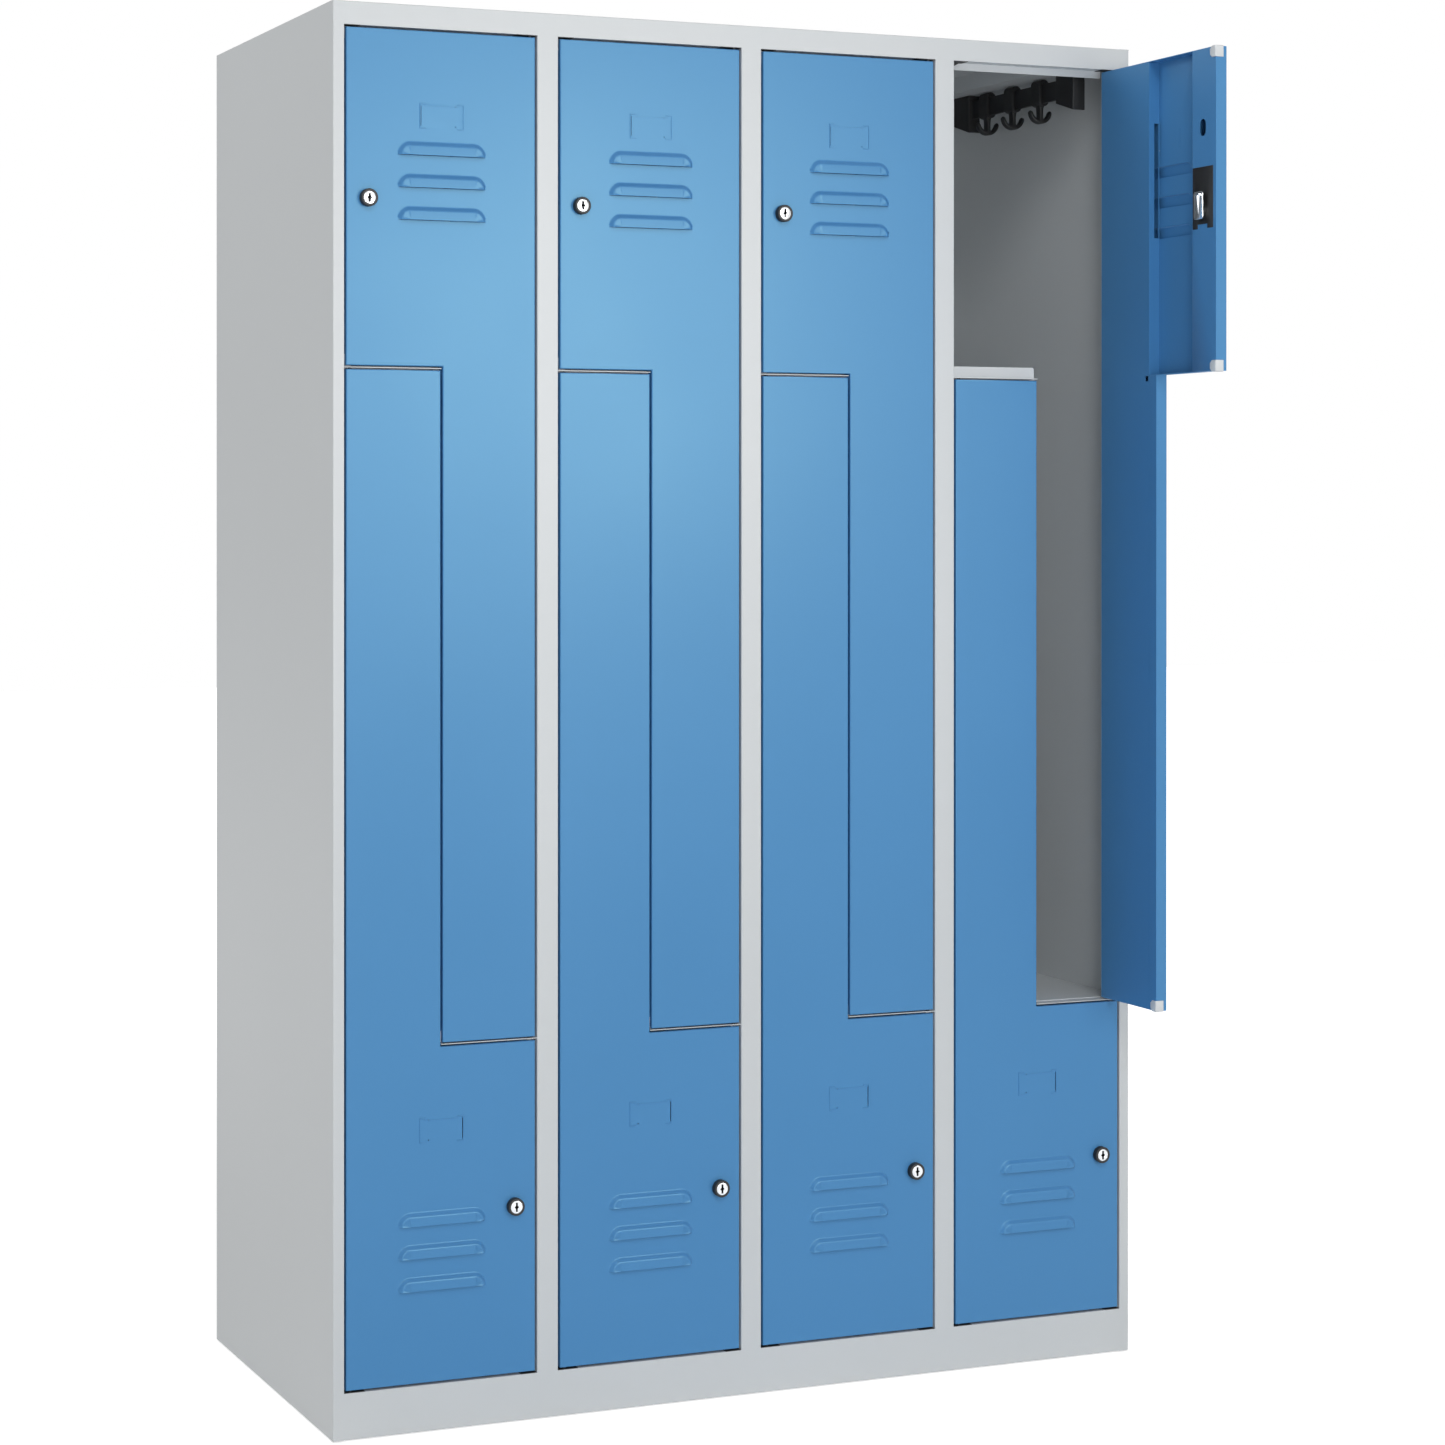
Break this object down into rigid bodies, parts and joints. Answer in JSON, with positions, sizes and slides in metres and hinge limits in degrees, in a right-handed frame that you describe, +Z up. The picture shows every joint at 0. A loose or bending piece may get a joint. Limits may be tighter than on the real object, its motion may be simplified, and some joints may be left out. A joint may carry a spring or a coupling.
{
  "type": "z locker",
  "caption": "Steel cabinet with columns of interlocking L-shaped doors, louvres, cylinder locks, coat rails and sliding hooks behind them.",
  "frame": {"origin": "middle of the cabinet's footprint, on the floor", "axes": "+Z up, -Y is the front with the doors, +X to the right of someone facing the doors"},
  "size_m": [1.2, 0.7539, 1.85],
  "materials": {
    "carcass_paint": "light grey powder coat, satin",
    "door_paint": "light blue powder coat, satin",
    "black_plastic": "fine-grained black moulding",
    "buffer_plastic": "light grey soft moulding",
    "foot_plastic": "black moulding",
    "lock_steel": "nickel-plated zinc, satin",
    "pin_steel": "zinc-plated"
  },
  "bodies": {
    "cabinet": {"side_panel_left": "carcass_paint", "side_panel_right": "carcass_paint", "back_panel": "carcass_paint", "top_panel": "carcass_paint", "base_rail": "carcass_paint", "floor_panel": "carcass_paint", "partition_1": "carcass_paint", "partition_2": "carcass_paint", "partition_3": "carcass_paint", "z_divider_1": "carcass_paint", "z_divider_2": "carcass_paint", "z_divider_3": "carcass_paint", "z_divider_4": "carcass_paint", "hinge_pins": "pin_steel", "coat_rails": "black_plastic", "levelling_feet": "foot_plastic"},
    "door_1_upper": {"door_1_upper_pan": "door_paint", "door_1_upper_stiffener": "door_paint", "door_1_upper_lock_case": "black_plastic", "door_1_upper_buffers": "buffer_plastic"},
    "lock_1_upper": {"door_1_upper_lock_core": "lock_steel"},
    "door_1_lower": {"door_1_lower_pan": "door_paint", "door_1_lower_stiffener": "door_paint", "door_1_lower_lock_case": "black_plastic", "door_1_lower_buffers": "buffer_plastic"},
    "lock_1_lower": {"door_1_lower_lock_core": "lock_steel"},
    "door_2_upper": {"door_2_upper_pan": "door_paint", "door_2_upper_stiffener": "door_paint", "door_2_upper_lock_case": "black_plastic", "door_2_upper_buffers": "buffer_plastic"},
    "lock_2_upper": {"door_2_upper_lock_core": "lock_steel"},
    "door_2_lower": {"door_2_lower_pan": "door_paint", "door_2_lower_stiffener": "door_paint", "door_2_lower_lock_case": "black_plastic", "door_2_lower_buffers": "buffer_plastic"},
    "lock_2_lower": {"door_2_lower_lock_core": "lock_steel"},
    "door_3_upper": {"door_3_upper_pan": "door_paint", "door_3_upper_stiffener": "door_paint", "door_3_upper_lock_case": "black_plastic", "door_3_upper_buffers": "buffer_plastic"},
    "lock_3_upper": {"door_3_upper_lock_core": "lock_steel"},
    "door_3_lower": {"door_3_lower_pan": "door_paint", "door_3_lower_stiffener": "door_paint", "door_3_lower_lock_case": "black_plastic", "door_3_lower_buffers": "buffer_plastic"},
    "lock_3_lower": {"door_3_lower_lock_core": "lock_steel"},
    "door_4_upper": {"door_4_upper_pan": "door_paint", "door_4_upper_stiffener": "door_paint", "door_4_upper_lock_case": "black_plastic", "door_4_upper_buffers": "buffer_plastic"},
    "lock_4_upper": {"door_4_upper_lock_core": "lock_steel"},
    "door_4_lower": {"door_4_lower_pan": "door_paint", "door_4_lower_stiffener": "door_paint", "door_4_lower_lock_case": "black_plastic", "door_4_lower_buffers": "buffer_plastic"},
    "lock_4_lower": {"door_4_lower_lock_core": "lock_steel"},
    "hook_front": {"coat_hook_front": "black_plastic"},
    "hook_middle": {"coat_hook_middle": "black_plastic"},
    "hook_rear": {"coat_hook_rear": "black_plastic"},
    "closed_locker_hooks": {"closed_locker_hooks": "black_plastic"}
  },
  "joints": [
    {"name": "door_1_upper_hinge", "type": "hinge", "parent": "cabinet", "child": "door_1_upper", "pos_m": [-0.3246, -0.2455, 0.941], "axis": [0, 0, 1], "range_deg": [0, 95]},
    {"name": "lock_1_upper_turn", "type": "hinge", "parent": "door_1_upper", "child": "lock_1_upper", "pos_m": [-0.5525, -0.2455, 1.598], "axis": [0, -1, 0], "range_deg": [0, 90]},
    {"name": "door_1_lower_hinge", "type": "hinge", "parent": "cabinet", "child": "door_1_lower", "pos_m": [-0.5754, -0.2455, 0.941], "axis": [0, 0, -1], "range_deg": [0, 95]},
    {"name": "lock_1_lower_turn", "type": "hinge", "parent": "door_1_lower", "child": "lock_1_lower", "pos_m": [-0.3475, -0.2455, 0.284], "axis": [0, -1, 0], "range_deg": [0, 90]},
    {"name": "door_2_upper_hinge", "type": "hinge", "parent": "cabinet", "child": "door_2_upper", "pos_m": [-0.0246, -0.2455, 0.941], "axis": [0, 0, 1], "range_deg": [0, 95]},
    {"name": "lock_2_upper_turn", "type": "hinge", "parent": "door_2_upper", "child": "lock_2_upper", "pos_m": [-0.2525, -0.2455, 1.598], "axis": [0, -1, 0], "range_deg": [0, 90]},
    {"name": "door_2_lower_hinge", "type": "hinge", "parent": "cabinet", "child": "door_2_lower", "pos_m": [-0.2754, -0.2455, 0.941], "axis": [0, 0, -1], "range_deg": [0, 95]},
    {"name": "lock_2_lower_turn", "type": "hinge", "parent": "door_2_lower", "child": "lock_2_lower", "pos_m": [-0.0475, -0.2455, 0.284], "axis": [0, -1, 0], "range_deg": [0, 90]},
    {"name": "door_3_upper_hinge", "type": "hinge", "parent": "cabinet", "child": "door_3_upper", "pos_m": [0.2754, -0.2455, 0.941], "axis": [0, 0, 1], "range_deg": [0, 95]},
    {"name": "lock_3_upper_turn", "type": "hinge", "parent": "door_3_upper", "child": "lock_3_upper", "pos_m": [0.0475, -0.2455, 1.598], "axis": [0, -1, 0], "range_deg": [0, 90]},
    {"name": "door_3_lower_hinge", "type": "hinge", "parent": "cabinet", "child": "door_3_lower", "pos_m": [0.0246, -0.2455, 0.941], "axis": [0, 0, -1], "range_deg": [0, 95]},
    {"name": "lock_3_lower_turn", "type": "hinge", "parent": "door_3_lower", "child": "lock_3_lower", "pos_m": [0.2525, -0.2455, 0.284], "axis": [0, -1, 0], "range_deg": [0, 90]},
    {"name": "door_4_upper_hinge", "type": "hinge", "parent": "cabinet", "child": "door_4_upper", "pos_m": [0.5754, -0.2455, 0.941], "axis": [0, 0, 1], "range_deg": [-90, 5]},
    {"name": "lock_4_upper_turn", "type": "hinge", "parent": "door_4_upper", "child": "lock_4_upper", "pos_m": [0.5754, -0.4734, 1.598], "axis": [1, 0, 0], "range_deg": [0, 90]},
    {"name": "door_4_lower_hinge", "type": "hinge", "parent": "cabinet", "child": "door_4_lower", "pos_m": [0.3246, -0.2455, 0.941], "axis": [0, 0, -1], "range_deg": [0, 95]},
    {"name": "lock_4_lower_turn", "type": "hinge", "parent": "door_4_lower", "child": "lock_4_lower", "pos_m": [0.5525, -0.2455, 0.284], "axis": [0, -1, 0], "range_deg": [0, 90]},
    {"name": "coat_hook_front_slide", "type": "slide", "parent": "cabinet", "child": "hook_front", "axis": [0, 1, 0], "range_m": [-0.04, 0.045]},
    {"name": "coat_hook_middle_slide", "type": "slide", "parent": "cabinet", "child": "hook_middle", "axis": [0, 1, 0], "range_m": [-0.045, 0.04]},
    {"name": "coat_hook_rear_slide", "type": "slide", "parent": "cabinet", "child": "hook_rear", "axis": [0, 1, 0], "range_m": [-0.04, 0.02]},
    {"name": "closed_locker_hooks_slide", "type": "slide", "parent": "cabinet", "child": "closed_locker_hooks", "axis": [0, 1, 0], "range_m": [-0.04, 0.02]}
  ]
}
